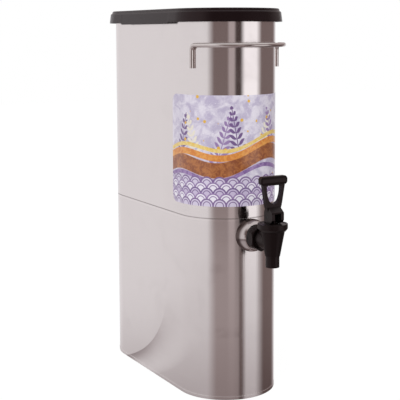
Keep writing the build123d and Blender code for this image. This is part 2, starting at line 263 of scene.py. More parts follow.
# %% Outline helpers
def draw_outline(bm, points, closed=True, segments=4):
    """A chain of edges in the XZ plane through (x, z) points; a third number rounds that corner."""
    verts = [bm.verts.new((point[0], 0, point[1])) for point in points]
    pairs = list(zip(verts, verts[1:]))
    if closed:
        pairs.append((verts[-1], verts[0]))
    for pair in pairs:
        bm.edges.new(pair)
    for vert, point in zip(verts, points):
        if len(point) == 3:
            bmesh.ops.bevel(bm, geom=[vert], offset=point[2], segments=segments, profile=0.5,
                            affect="VERTICES", offset_type="OFFSET", material=-1)
    return list(bm.verts) + list(bm.edges)


def scaled(points):
    """The same outline in metres."""
    return [tuple(value * MM for value in point) for point in points]


def turned(points, steps=48, closed=True, segments=4):
    """A bmesh of revolution about Z through an outline of (radius, height) in millimetres."""
    bm = bmesh.new()
    outline = draw_outline(bm, scaled(points), closed, segments)
    bmesh.ops.spin(bm, geom=outline, cent=(0, 0, 0), axis=(0, 0, 1), angle=2 * math.pi,
                   steps=steps, use_merge=True)
    return tidy(bm)


def tidy(bm):
    """Merge what meets, close nothing else, and turn the faces outwards."""
    bmesh.ops.remove_doubles(bm, verts=bm.verts, dist=0.004 * MM)
    bmesh.ops.dissolve_degenerate(bm, dist=0.002 * MM, edges=bm.edges)
    bmesh.ops.recalc_face_normals(bm, faces=bm.faces)
    return bm


def moved(bm, matrix):
    """The same bmesh carried to its place."""
    bmesh.ops.transform(bm, matrix=matrix, verts=bm.verts)
    return bm


def ends_of(found):
    """The vertices of an extrusion's far end, with the edges between them."""
    verts = {part for part in found if isinstance(part, bmesh.types.BMVert)}
    edges = [part for part in found
             if isinstance(part, bmesh.types.BMEdge) and verts.issuperset(part.verts)]
    return list(verts), edges


def round_body(points, closed=True, stations=(0.5,), steps=72, segments=4):
    """A bmesh that carries an outline of (outward, height) in millimetres round the oval plan."""
    bm = bmesh.new()
    outline = draw_outline(bm, scaled(points), closed, segments)
    for vert in bm.verts:
        vert.co = (-end_radius - vert.co.x, front_axis, vert.co.z)
    for axis_y, way in ((front_axis, 1), (rear_axis, -1)):
        swept = bmesh.ops.spin(bm, geom=outline, cent=(0, axis_y, 0), axis=(0, 0, 1),
                               angle=math.pi, steps=steps, use_merge=False)
        verts, edges = ends_of(swept["geom_last"])
        done = 0.0
        for part in (*stations, 1.0) if way == 1 else (*(1 - s for s in reversed(stations)), 1.0):
            run = bmesh.ops.extrude_edge_only(bm, edges=edges)["geom"]
            verts, edges = ends_of(run)
            bmesh.ops.translate(bm, verts=verts, vec=(0, way * (part - done) * straight, 0))
            done = part
        outline = verts + edges
    return bm


# %% The way round the oval
side_start = math.pi * end_radius / 2
whole_round = 2 * math.pi * end_radius + 2 * straight


def along_wall(co):
    """How far round the oval a point is, from the front centre towards +X."""
    if co.y < front_axis:
        return end_radius * math.atan2(co.x, front_axis - co.y)
    if co.y < rear_axis:
        return math.copysign(side_start + co.y - front_axis, co.x)
    return side_start + straight + end_radius * math.atan2(co.y - rear_axis, co.x)


def outward(co):
    """How far a point stands outside the oval wall."""
    nearest = min(max(co.y, front_axis), rear_axis)
    return math.hypot(co.x, co.y - nearest) - end_radius


def lay_grain(bm):
    """A UV map that climbs the wall along its first axis and goes round along its second."""
    bm.normal_update()
    layer = bm.loops.layers.uv.new("grain")
    for face in bm.faces:
        middle = along_wall(face.calc_center_median())
        flat = abs(face.normal.z) > 0.7
        for loop in face.loops:
            here = along_wall(loop.vert.co)
            here -= whole_round * round((here - middle) / whole_round)
            loop[layer].uv = (outward(loop.vert.co) if flat else loop.vert.co.z, here)


# %% Finished pieces and cuts
def make_piece(name, bm, body, node, slot, *materials, crease=32):
    """A named object from a bmesh that rides on its body and stands for its CAD node."""
    mesh = bpy.data.meshes.new(name)
    bm.to_mesh(mesh)
    bm.free()
    for material in materials:
        mesh.materials.append(material)
    mesh.shade_smooth()
    mesh.set_sharp_from_angle(angle=math.radians(crease))
    piece = bpy.data.objects.new(name, mesh)
    bpy.context.scene.collection.objects.link(piece)
    even = piece.modifiers.new("even_shading", "WEIGHTED_NORMAL")
    even.keep_sharp = True
    even.weight = 100
    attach(piece, body)
    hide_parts(node)
    print(name, len(mesh.polygons), "faces")
    return piece


def joined(first, second, operation="UNION"):
    """The Boolean of two closed bmeshes, as a new bmesh."""
    helpers = []
    for label, bm in (("keep", first), ("tool", second)):
        mesh = bpy.data.meshes.new(label)
        bm.to_mesh(mesh)
        bm.free()
        helpers.append(bpy.data.objects.new(label, mesh))
        bpy.context.scene.collection.objects.link(helpers[-1])
    boolean = helpers[0].modifiers.new("join", "BOOLEAN")
    boolean.operation = operation
    boolean.solver = "EXACT"
    boolean.object = helpers[1]
    graph = bpy.context.evaluated_depsgraph_get()
    made = bpy.data.meshes.new_from_object(helpers[0].evaluated_get(graph))
    result = bmesh.new()
    result.from_mesh(made)
    bpy.data.meshes.remove(made)
    for helper in helpers:
        mesh = helper.data
        bpy.data.objects.remove(helper)
        bpy.data.meshes.remove(mesh)
    return result


# %% [markdown]
# ## Shared surface effects
#
# Three effects turn up on several parts: the brushed lines of the sheet, the slight unevenness and
# finger marks of handled metal, and the fine grain that a mould leaves on plastic. Each is built
# once as a node group. A group gives out only masks and heights, and the material decides what they
# do.

# %% Node group helper
def new_group(name, inputs, outputs):
    """A shader node group with float inputs (a None default is a vector), and float outputs."""
    group = bpy.data.node_groups.new(name, "ShaderNodeTree")
    for label, default in inputs:
        kind = "NodeSocketVector" if default is None else "NodeSocketFloat"
        socket = group.interface.new_socket(label, in_out="INPUT", socket_type=kind)
        if default is not None:
            socket.default_value = default
    for label in outputs:
        group.interface.new_socket(label, in_out="OUTPUT", socket_type="NodeSocketFloat")
    given = group.nodes.new("NodeGroupInput").outputs
    made = group.nodes.new("NodeGroupOutput").inputs
    return group, given, made


def use_group(tree, group, sockets):
    """Place a node group in a material."""
    made = tree.nodes.new("ShaderNodeGroup")
    made.node_tree = group
    for name, value in sockets.items():
        if isinstance(value, bpy.types.NodeSocket):
            tree.links.new(value, made.inputs[name])
        else:
            made.inputs[name].default_value = value
    return made.outputs


def noise(tree, vector, scale, detail=2.0, rough=0.5, distortion=0.0):
    """The value of a noise texture."""
    sockets = {"Vector": vector, "Scale": scale, "Detail": detail, "Roughness": rough,
               "Distortion": distortion}
    return add(tree, "TexNoise", sockets).outputs[0]


# %% Group: brushed lines
brushed_lines, given, made = new_group(
    "brushed_lines", [("Map", None), ("Lines per metre", 2500.0), ("Streak", 60.0)],
    ["Fine", "Broad"])
tree = brushed_lines
across = add(tree, "SeparateXYZ", {0: given["Map"]}).outputs
climb = maths(tree, "MULTIPLY", across[0], given["Lines per metre"])
streaks = maths(tree, "DIVIDE", given["Lines per metre"], given["Streak"])
along = maths(tree, "MULTIPLY", across[1], streaks)
lines = add(tree, "CombineXYZ", {0: climb, 1: along}).outputs[0]
tree.links.new(noise(tree, lines, 1.0, 3.0, 0.6), made["Fine"])
tree.links.new(noise(tree, lines, 0.12, 2.0, 0.55), made["Broad"])

# %% Group: handled sheet
handled_sheet, given, made = new_group(
    "handled_sheet", [("Position", None), ("Waves per metre", 9.0), ("Marks per metre", 14.0)],
    ["Wave", "Marks"])
tree = handled_sheet
wave = noise(tree, given["Position"], given["Waves per metre"], 1.5, 0.4, 0.4)
tree.links.new(wave, made["Wave"])
smears = noise(tree, given["Position"], given["Marks per metre"], 5.0, 0.62, 0.8)
tree.links.new(span(tree, smears, 0.48, 0.74), made["Marks"])

# %% Group: moulded grain
moulded_grain, given, made = new_group(
    "moulded_grain", [("Position", None), ("Grains per metre", 900.0)], ["Height", "Cloud"])
tree = moulded_grain
pits = add(tree, "TexVoronoi", {"Vector": given["Position"], "Scale": given["Grains per metre"]})
tree.links.new(pits.outputs["Distance"], made["Height"])
tree.links.new(noise(tree, given["Position"], 22.0, 4.0, 0.6), made["Cloud"])

# %% [markdown]
# ## Brushed steel
#
# Brushing cuts fine lines that run round the body, and they spread a highlight up and down but
# hardly sideways. The anisotropic setting does that, with its direction taken from a UV map that
# climbs the wall. The sheet's sides are not quite flat, so a slow wave bends the reflections a
# little. The side has a faint upright bend line, past which it leans in by two and then about four
# degrees, and a soft dent low on the left. These are heights for a Bump node, because they are far
# too shallow to need a mesh. Along the seam a darker band of colour is painted shade in the lap's
# groove, and a paler band just below it is a painted highlight on the skirt's top edge.

# %% Steel materials
def start_material(name, colour, rough, metal=0.0, **more):
    """A principled material with its plain values on the shader's own sockets."""
    material = bpy.data.materials.new(name)
    material.use_nodes = True
    shader = material.node_tree.nodes["Principled BSDF"]
    shader.inputs["Base Color"].default_value = (*colour, 1)
    shader.inputs["Roughness"].default_value = rough
    shader.inputs["Metallic"].default_value = metal
    for socket, value in more.items():
        shader.inputs[socket.replace("_", " ")].default_value = value
    return material, material.node_tree, shader.inputs


def tinted(colour, level):
    """A colour made lighter or darker."""
    return (*(channel * level for channel in colour), 1)


def clamped(tree, value, low, high):
    """A value held between two limits."""
    return maths(tree, "MINIMUM", maths(tree, "MAXIMUM", value, low), high)


def side_bend(tree, y, start, kink, most):
    """The height of a flat side that leans in past a line, more and more up to the round front."""
    run = start - front_axis
    fade = 56 * MM
    past = clamped(tree, maths(tree, "SUBTRACT", y, start), -run, 0.0)
    curve = maths(tree, "MULTIPLY_ADD", past, (kink - most) / (2 * run), kink)
    height = maths(tree, "MULTIPLY", past, curve)
    past = clamped(tree, maths(tree, "SUBTRACT", y, front_axis), -fade, 0.0)
    curve = maths(tree, "MULTIPLY_ADD", past, most / (2 * fade), most)
    return maths(tree, "MULTIPLY_ADD", past, curve, height)


def side_dent(tree, where, width, depth):
    """The height of a soft dent behind a crease that climbs the lower left side in a curve."""
    foot_z, rise = 23 * MM, 60 * MM
    crease_reach, crease_front_y = 115 * MM, -40 * MM
    climb = maths(tree, "DIVIDE", maths(tree, "SUBTRACT", foot_z, where[2]), rise)
    crease_y = maths(tree, "MULTIPLY_ADD", maths(tree, "EXPONENT", climb), crease_reach,
                     crease_front_y)
    past = maths(tree, "DIVIDE", maths(tree, "SUBTRACT", crease_y, where[1]), width)
    past = clamped(tree, past, 0.0, 1.0)
    back = maths(tree, "SUBTRACT", 1.0, past)
    shape = maths(tree, "MULTIPLY", past, maths(tree, "MULTIPLY", back, back))
    left = span(tree, where[0], -30 * MM, -60 * MM, 0.0, -depth * width)
    low = span(tree, where[2], 170 * MM, 60 * MM)
    return maths(tree, "MULTIPLY", shape, maths(tree, "MULTIPLY", left, low))


# Painted light at the seam: a darker band of painted shade in the lap's groove, and a paler band of
# painted highlight just below it on the skirt's top edge.
seam_shade_and_highlight_bands = ((0.5, 1.4, 0.80), (-2.4, 1.4, 1.05))
dent_width = 110 * MM


def brushed_steel(name, colour, rough, grain_depth, wave_depth, bend, dent=0.0, **sizes):
    """Steel sheet brushed round the body, with slight waves, smears, a bend and perhaps a dent."""
    material, tree, shader = start_material(name, colour, rough, 1.0, Anisotropic=0.8)
    grain_map = add(tree, "UVMap", uv_map="grain").outputs[0]
    position = add(tree, "TexCoord").outputs["Object"]
    where = add(tree, "SeparateXYZ", {0: position}).outputs
    lines = use_group(tree, brushed_lines, {"Map": grain_map, **sizes})
    sheet = use_group(tree, handled_sheet, {"Position": position})
    tone = maths(tree, "ADD", maths(tree, "MULTIPLY", lines["Fine"], 0.75),
                 maths(tree, "MULTIPLY", lines["Broad"], 0.25))
    steel = blend(tree, span(tree, tone, 0.3, 0.7), tinted(colour, 0.985), tinted(colour, 1.012))
    steel = blend(tree, maths(tree, "MULTIPLY", sheet["Marks"], 0.25), steel, tinted(colour, 0.94))
    # The seam's two colour bands: painted shade in the groove and a painted highlight below it.
    for height_off, half, level in seam_shade_and_highlight_bands:
        seam = maths(tree, "ABSOLUTE", maths(tree, "SUBTRACT", where[2], seam_z + height_off * MM))
        band = span(tree, seam, half * MM, 0.4 * half * MM)
        steel = blend(tree, band, steel, tinted(colour, level))
    tree.links.new(steel, shader["Base Color"])
    dull = maths(tree, "MULTIPLY_ADD", sheet["Marks"], 0.05, rough)
    dull = maths(tree, "MULTIPLY_ADD", lines["Fine"], 0.03, dull)
    tree.links.new(dull, shader["Roughness"])
    bent = side_bend(tree, where[1], *bend)
    height = maths(tree, "MULTIPLY_ADD", sheet["Wave"], wave_depth, bent)
    if dent:
        height = maths(tree, "ADD", height, side_dent(tree, where, dent_width, dent))
    slow = add(tree, "Bump", {"Strength": 1.0, "Distance": 1.0, "Height": height})
    fine = add(tree, "Bump", {"Strength": 0.5, "Distance": grain_depth, "Height": lines["Fine"],
                              "Normal": slow.outputs[0]})
    tree.links.new(fine.outputs[0], shader["Normal"])
    tangent = add(tree, "Tangent", direction_type="UV_MAP", uv_map="grain")
    tree.links.new(tangent.outputs[0], shader["Tangent"])
    return material


tank_steel = brushed_steel("tank_steel", (0.78, 0.73, 0.72), 0.12, 0.0000025, 0.0003,
                           (-10 * MM, 0.03, 0.075))
skirt_steel = brushed_steel("skirt_steel", (0.77, 0.72, 0.71), 0.14, 0.0000035, 0.0003,
                            (25 * MM, 0.0, 0.08), 0.045,
                            **{"Lines per metre": 1900.0, "Streak": 45.0})


def smooth_steel(name, colour, rough, scratch_scale, scratch_rough, painted_wall_shade=False):
    """Bright steel with fine scratches, and perhaps painted shade on its edge where it meets the
    tank's front.
    """
    material, tree, shader = start_material(name, colour, rough, 1.0)
    position = add(tree, "TexCoord").outputs["Object"]
    sheet = use_group(tree, handled_sheet, {"Position": position, "Marks per metre": scratch_scale})
    dull = maths(tree, "MULTIPLY_ADD", sheet["Marks"], scratch_rough, rough)
    tree.links.new(dull, shader["Roughness"])
    steel = blend(tree, sheet["Marks"], tinted(colour, 1.0), tinted(colour, 0.93))
    # Painted shade and painted dark reflection: the edge next to the tank's front is coloured dark
    # brown.
    if painted_wall_shade:
        where = add(tree, "SeparateXYZ", {0: position}).outputs
        back = maths(tree, "SUBTRACT", where[1], front_axis)
        off = maths(tree, "SQRT", maths(tree, "MULTIPLY_ADD", where[0], where[0],
                                        maths(tree, "MULTIPLY", back, back)))
        edge = span(tree, off, end_radius + 13 * MM, end_radius + 7 * MM)
        steel = blend(tree, edge, steel, (0.12, 0.09, 0.085, 1))
    tree.links.new(steel, shader["Base Color"])
    return material


wire_steel = smooth_steel("wire_steel", (0.68, 0.62, 0.60), 0.13, 160.0, 0.10)
# The collar's steel has painted shade on its edge by the tank wall.
mirror_steel = smooth_steel("mirror_steel", (0.55, 0.49, 0.48), 0.07, 90.0, 0.07, painted_wall_shade=True)
inner_steel = smooth_steel("inner_steel", (0.62, 0.59, 0.58), 0.32, 40.0, 0.15)

# %% [markdown]
# ## Moulded plastics
#
# The lid and the tap are black moulded plastic. What the eye reads as their colour is mostly sheen
# on a nearly black base, so the base stays dark and the roughness carries the look, with the
# mould's fine grain and the faint clouds of handling.

# %% Plastics
def moulded(name, colour, rough, grains, depth, cloud=0.06, shine=0.5, tint=(1, 1, 1)):
    """Moulded plastic with a fine grain and clouded roughness."""
    material, tree, shader = start_material(name, colour, rough, Specular_IOR_Level=shine,
                                            Specular_Tint=(*tint, 1))
    position = add(tree, "TexCoord").outputs["Object"]
    grain = use_group(tree, moulded_grain, {"Position": position, "Grains per metre": grains})
    tree.links.new(blend(tree, grain["Cloud"], tinted(colour, 0.8), tinted(colour, 1.25)),
                   shader["Base Color"])
    tree.links.new(maths(tree, "MULTIPLY_ADD", grain["Cloud"], 2 * cloud, rough - cloud),
                   shader["Roughness"])
    bump = add(tree, "Bump", {"Strength": 0.6, "Distance": depth, "Height": grain["Height"]})
    tree.links.new(bump.outputs[0], shader["Normal"])
    return material


brown_black = (1.0, 0.74, 0.74)
lid_plastic = moulded("lid_plastic", (0.006, 0.003, 0.0035), 0.26, 900.0, 0.00004,
                      shine=0.30, tint=brown_black)
tap_plastic = moulded("tap_plastic", (0.0042, 0.0026, 0.0026), 0.30, 1400.0, 0.00003,
                      shine=0.24, tint=brown_black)
pin_plastic = moulded("pin_plastic", (0.006, 0.005, 0.005), 0.5, 1400.0, 0.00003)
washer_nylon = moulded("washer_nylon", (0.02, 0.018, 0.018), 0.45, 1500.0, 0.00003)
soft_silicone = moulded("soft_silicone", (0.62, 0.61, 0.57), 0.5, 1200.0, 0.00002)

# %% [markdown]
# ## Tank, skirt and lid
#
# The tank and the skirt are folded from sheet. Each is one section with the sheet's real thickness,
# carried round the oval: the tank's ends in a rolled rim above and a stepped lap below, and the
# skirt's ends in a folded hem. The lid is a moulding with a stepped shoulder, and its section goes
# round in the same way. Its straight sides get extra stations, so that the lower edge can be moved
# down between them to make the side grips.

# %% Tank wall
wall = round_body([
    (0, 270.8), (0, 563, 0.6), (2.5, 563, 1.7), (2.5, 568, 1.7), (-1, 568, 1.0), (-1, 271.8, 0.5),
    (-2.1, 271.8, 0.5), (-2.1, 261), (-1.1, 261), (-1.1, 270.8, 0.3),
])
wall = tidy(wall)
lay_grain(wall)
make_piece("tank_wall", wall, "dispenser", "tank_shell", "brushed_steel", tank_steel)

# %% Base skirt
skirt = round_body([
    (0.4, 0, 0.2), (0.4, 5, 0.3), (0, 5, 0.1), (0, 270, 0.3), (-1, 270, 0.3), (-1, 14, 0.3),
    (-2, 14, 0.3), (-2, 0, 0.3),
])
skirt = tidy(skirt)
hole = bmesh.new()
bmesh.ops.create_cone(hole, cap_ends=True, segments=64, radius1=13.15 * MM, radius2=13.15 * MM,
                      depth=24 * MM)
tap_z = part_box("jam_nut")[0].z / 2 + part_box("jam_nut")[1].z / 2
across_front = Matrix.Translation((0, front_y, tap_z)) @ Matrix.Rotation(math.pi / 2, 4, "X")
skirt = joined(skirt, moved(hole, across_front), "DIFFERENCE")
lay_grain(skirt)
make_piece("base_skirt_wall", skirt, "dispenser", "base_skirt", "skirt_steel", skirt_steel)

# %% Lid
side_marks = [0, 18, 19, 20, 21, 22, 60, 115, 179, 180, 181, 182, 183, 206]
lid = round_body([
    (-10.6, 570, 0.9), (-10.6, 571.4, 0.35), (4.9, 571.4, 1.6), (5.9, 567.4, 0.5),
    (8.1, 566.8, 1.5), (10, 552, 0.7), (7.4, 552, 0.6), (5.4, 564.6, 1.5), (3.2, 565, 0.4),
    (2.8, 568, 0.5), (-2, 568, 0.5),
    (-2, 556, 0.5), (-4, 556, 0.5), (-4, 568, 0.8), (-9, 568),
], closed=False, stations=[m * MM / straight for m in side_marks[1:-1]], segments=6)
grip_drop, grip_start, grip_end, grip_ramp = 2.5 * MM, 18 * MM, 183 * MM, 4 * MM
lower_edge = 554 * MM
for vert in lid.verts:
    if vert.co.z < lower_edge:
        past = min(vert.co.y - front_axis - grip_start, front_axis + grip_end - vert.co.y)
        share = min(max(past / grip_ramp, 0.0), 1.0)
        vert.co.z -= grip_drop * share * share * (3 - 2 * share)
bmesh.ops.remove_doubles(lid, verts=lid.verts, dist=0.004 * MM)
loose = [edge for edge in lid.edges if edge.is_boundary]
bmesh.ops.holes_fill(lid, edges=loose, sides=0)
lid = tidy(lid)
make_piece("lid_moulding", lid, "lid", "lid", "lid_plastic", lid_plastic)

# %% [markdown]
# ## Wire handle
#
# The handle is one length of quarter inch wire. It is bent to a half circle that clears a hand's
# fingers in front of the tank, then turned down at both ends and welded. A circle spun along the
# bar, round the small bend and then extruded down one leg makes half of it, and a mirror makes the
# rest.

# %% Wire handle
handle_low, handle_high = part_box("carry_handle")
wire_radius = 3.2 * MM
bar_z = handle_high.z - wire_radius
leg_angle, toe_in = math.radians(22), math.radians(8)
bend_radius = 8 * MM
stand = end_radius + wire_radius + 0.05 * MM
leg = Vector((-stand * math.cos(leg_angle), front_axis - stand * math.sin(leg_angle), 0))
ahead = Vector((math.sin(toe_in), -math.cos(toe_in), 0))
bar_end = leg + ahead * bend_radius
bar_radius = -bar_end.x / math.cos(toe_in)
bar_axis = Vector((0, bar_end.y + bar_radius * math.sin(toe_in), bar_z))
bend_axis = Vector((bar_end.x, bar_end.y, bar_z - bend_radius))

wire = bmesh.new()
bmesh.ops.create_circle(wire, segments=24, radius=wire_radius)
bar_front = Matrix.Translation(bar_axis - Vector((0, bar_radius, 0)))
moved(wire, bar_front @ Matrix.Rotation(math.pi / 2, 4, "Y"))
part = list(wire.verts) + list(wire.edges)
part = bmesh.ops.spin(wire, geom=part, cent=bar_axis, axis=(0, 0, 1), angle=toe_in - math.pi / 2,
                      steps=40, use_merge=False)["geom_last"]
bend_turn = (-math.cos(toe_in), -math.sin(toe_in), 0)
part = bmesh.ops.spin(wire, geom=part, cent=bend_axis, axis=bend_turn, angle=math.pi / 2,
                      steps=12, use_merge=False)["geom_last"]
verts, edges = ends_of(part)
for drop in (8, 16, 0.9):
    verts, edges = ends_of(bmesh.ops.extrude_edge_only(wire, edges=edges)["geom"])
    bmesh.ops.translate(wire, verts=verts, vec=(0, 0, -drop * MM))
verts, edges = ends_of(bmesh.ops.extrude_edge_only(wire, edges=edges)["geom"])
bmesh.ops.translate(wire, verts=verts, vec=(0, 0, handle_low.z - verts[0].co.z))
foot = sum((vert.co for vert in verts), Vector()) / len(verts)
bmesh.ops.scale(wire, verts=verts, vec=(0.75, 0.75, 1), space=Matrix.Translation(-foot))
bmesh.ops.edgeloop_fill(wire, edges=edges)

inward = Vector((-leg.x, front_axis - leg.y, 0)).normalized()
for rise in (5.2, 18.2):
    bead = bmesh.ops.create_icosphere(wire, subdivisions=3, radius=2.2 * MM)["verts"]
    at = leg + inward * wire_radius + Vector((0, 0, handle_low.z + rise * MM))
    bmesh.ops.scale(wire, verts=bead, vec=(1, 1, 1.35))
    bmesh.ops.translate(wire, verts=bead, vec=at)
bmesh.ops.mirror(wire, geom=list(wire.verts) + list(wire.edges) + list(wire.faces), axis="X",
                 merge_dist=0.01 * MM)
make_piece("wire_handle", tidy(wire), "dispenser", "carry_handle", "wire_steel", wire_steel)

# %% [markdown]
# ## Tap
#
# The tap is a stack of turned parts on two axes that cross: a level shank through the tank's front
# and an upright spout. Each is an outline spun round its own axis. Where the barrel runs into the
# spout, and where bores go through, a Boolean joins or cuts closed shapes, as the mould's cores do.

# %% Frames of the tap
bonnet_low, bonnet_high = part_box("tap_bonnet")
tap_y = (bonnet_low.y + bonnet_high.y) / 2
pin_z = sum(corner.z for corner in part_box("lever_pin")) / 2
spout_frame = Matrix.Translation((0, tap_y, tap_z))
shank_frame = across_front
pin_frame = Matrix.Translation((0, tap_y, pin_z))

# %% Domed collar, washer and nut
collar = turned([
    (24, -12), (24, 1.5, 1.2), (23.7, 6, 3), (21.8, 11.6, 3.4), (18.3, 15, 0.5), (11.05, 15, 0.3),
    (11.05, 12.1), (13.1, 12.1), (13.1, -12),
], steps=64)
wall_round = bmesh.new()
bmesh.ops.create_cone(wall_round, cap_ends=True, segments=256, radius1=end_radius + 0.05 * MM,
                      radius2=end_radius + 0.05 * MM, depth=80 * MM)
moved(wall_round, Matrix.Translation((0, front_axis, tap_z)))
collar = joined(moved(collar, shank_frame), wall_round, "DIFFERENCE")
make_piece("polished_collar", collar, "dispenser", "dome_collar", "polished_steel", mirror_steel)

washer = turned([(11.05, 15), (17.5, 15, 0.25), (17.5, 17, 0.25), (11.05, 17)], steps=64)
make_piece("flat_washer", moved(washer, shank_frame), "dispenser", "shank_washer", "nylon_washer",
           washer_nylon)

hexagon = bmesh.new()
across_flats, nut_length, nut_middle = 34 * MM, 13 * MM, 23.5 * MM
corner = across_flats / math.sqrt(3)
bmesh.ops.create_cone(hexagon, cap_ends=True, segments=6, radius1=corner, radius2=corner,
                      depth=nut_length)
bmesh.ops.translate(hexagon, verts=hexagon.verts, vec=(0, 0, nut_middle))
upright = [edge for edge in hexagon.edges if abs(edge.verts[0].co.z - edge.verts[1].co.z) > 5 * MM]
bmesh.ops.bevel(hexagon, geom=upright, offset=0.9 * MM, segments=2, profile=0.5, affect="EDGES",
                material=-1)
crown = turned([
    (11.05, 17.0, 0.5), (16.8, 17.0, 0.6), (19.3, 19.4, 0.5), (19.3, 27.6, 0.5), (16.8, 30.0, 0.6),
    (11.05, 30.0, 0.5),
], steps=72)
nut = joined(hexagon, crown, "INTERSECT")
make_piece("shank_nut", moved(nut, shank_frame), "dispenser", "jam_nut", "tap_plastic", tap_plastic)

# %% Tap body
spout = turned([
    (0, -36), (9.8, -36, 0.6), (9.8, -20), (10.6, -20, 0.3), (17.2, 16, 0.5), (15.6, 16),
    (15.6, 22, 0.3), (0, 22),
], closed=False, steps=64)
barrel = turned([
    (0, -15.5), (11, -15.5, 0.6), (11, 30.05), (13.5, 30.05, 1.0), (13.5, 56.5), (0, 56.5),
], closed=False, steps=64)
chamber = turned([
    (0, -37), (7.9, -37), (7.5, -35.4), (7.5, -13, 0.3), (9.8, -13), (12.7, 13), (14.2, 13),
    (14.2, 23), (0, 23),
], closed=False, steps=64)
bore = turned([(0, -16.5), (7.5, -16.5), (7.5, 56.5), (0, 56.5)], closed=False, steps=64)
body = joined(moved(spout, spout_frame), moved(barrel, shank_frame))
hollow = joined(moved(chamber, spout_frame), moved(bore, shank_frame))
body = joined(body, hollow, "DIFFERENCE")
make_piece("tap_moulding", body, "dispenser", "tap_body", "tap_plastic", tap_plastic)

# %% Bonnet
bonnet = turned([
    (5.06, 26.6, 0.3), (13.4, 26.6, 0.3), (14.0, 25.9, 0.3), (18.4, 25.9, 0.3), (19.0, 26.6, 0.25),
    (21.3, 26.6, 0.8), (21.3, 19.6, 0.4), (18.6, 16.1, 0.3), (15.65, 16.1), (15.65, 22.1),
    (14.1, 22.1), (14.1, 15), (11.7, 15), (11.7, 22.2), (5.06, 22.2),
], steps=72)
make_piece("bonnet_cap", moved(bonnet, spout_frame), "dispenser", "tap_bonnet", "tap_plastic",
           tap_plastic)

# %% Stem
stem = turned([
    (0, -11), (4.4, -11, 0.5), (4.4, -9.5, 0.3), (3.2, -9.5), (3.2, 17.2), (5, 17.2, 0.4),
    (5, 41, 4.9), (0, 41),
], closed=False, steps=40, segments=8)
pin_hole = bmesh.new()
bmesh.ops.create_cone(pin_hole, cap_ends=True, segments=32, radius1=2.05 * MM, radius2=2.05 * MM,
                      depth=30 * MM)
moved(pin_hole, Matrix.Translation((0, 0, 36 * MM)) @ Matrix.Rotation(math.pi / 2, 4, "Y"))
stem = joined(stem, pin_hole, "DIFFERENCE")
make_piece("lift_stem", moved(stem, spout_frame), "stem", "valve_stem", "stem_plastic", tap_plastic)

# %% Lever
def plate(points, half_thickness, axis):
    """A flat plate from an outline of (across, height), thickened both ways along X or Y."""
    bm = bmesh.new()
    outline = draw_outline(bm, scaled(points), segments=5)
    face = bmesh.ops.contextual_create(bm, geom=list(bm.edges))["faces"]
    solid = bmesh.ops.extrude_face_region(bm, geom=face)["geom"]
    verts = [part for part in solid if isinstance(part, bmesh.types.BMVert)]
    bmesh.ops.translate(bm, verts=verts, vec=(0, 2 * half_thickness * MM, 0))
    bmesh.ops.translate(bm, verts=bm.verts, vec=(0, -half_thickness * MM, 0))
    if axis == "X":
        quarter = Matrix.Rotation(math.pi / 2, 3, "Z")
        bmesh.ops.rotate(bm, verts=bm.verts, cent=(0, 0, 0), matrix=quarter)
    bmesh.ops.recalc_face_normals(bm, faces=bm.faces)
    return bm


cam_turn = math.radians(60)
cam_rate = 4 / cam_turn
cam_rest = (pin_z - bonnet_high.z) / MM - 0.3


def cam_point(turn):
    """The point of the lever's foot that rides just over the bonnet at that turn, as (y, z)."""
    reach = cam_rest + cam_rate * turn
    return (-reach * math.sin(turn) - cam_rate * math.cos(turn),
            -reach * math.cos(turn) + cam_rate * math.sin(turn))


cam = [cam_point(cam_turn * step / 8) for step in range(9)]
block = plate(cam + [(cam[-1][0], 7, 1.5), (-3.5, 14, 1.0), (3.5, 14, 1.0), (7, 7, 1.5),
                     (7, -cam_rest, 0.8)], 10, "X")
slot = bmesh.new()
bmesh.ops.create_cube(slot, size=1)
bmesh.ops.scale(slot, verts=slot.verts, vec=(10.6 * MM, 60 * MM, 60 * MM))
bmesh.ops.translate(slot, verts=slot.verts, vec=(0, 0, (5.6 - 30) * MM))
block = joined(block, slot, "DIFFERENCE")

right = [(10, 7), (13, 18, 3), (18, 46.8)]
left = [(-point[0], *point[1:]) for point in reversed(right)]
loop = plate(right + left, 3.5, "Y")
right = [(7.63, 21.8, 2.4), (11.56, 31, 6), (12.3, 44.5, 2.6)]
left = [(-point[0], *point[1:]) for point in reversed(right)]
window = plate([(0, 17.5, 2.2)] + right + left, 6, "Y")
loop = joined(loop, window, "DIFFERENCE")

grip = bmesh.new()
bmesh.ops.create_cube(grip, size=1)
grip_wide, grip_deep, grip_high, grip_middle = 44 * MM, 9 * MM, 12.5 * MM, 51.25 * MM
bmesh.ops.scale(grip, verts=grip.verts, vec=(grip_wide, grip_deep, grip_high))
along_y = [edge for edge in grip.edges if abs(edge.verts[0].co.y - edge.verts[1].co.y) > 5 * MM]
bmesh.ops.bevel(grip, geom=along_y, offset=5 * MM, segments=6, profile=0.5, affect="EDGES",
                material=-1)
rims = [edge for edge in grip.edges if abs(edge.verts[0].co.y - edge.verts[1].co.y) < MM]
bmesh.ops.bevel(grip, geom=rims, offset=1.6 * MM, segments=3, profile=0.5, affect="EDGES",
                material=-1)
flats = [face for face in grip.faces
         if abs(face.normal.y) > 0.9 and face.calc_area() > 100 * MM * MM]
bmesh.ops.inset_region(grip, faces=flats, thickness=2.2 * MM, depth=-0.9 * MM,
                       use_even_offset=True)
bmesh.ops.translate(grip, verts=grip.verts, vec=(0, 0, grip_middle))
print("grip panels", len(flats))

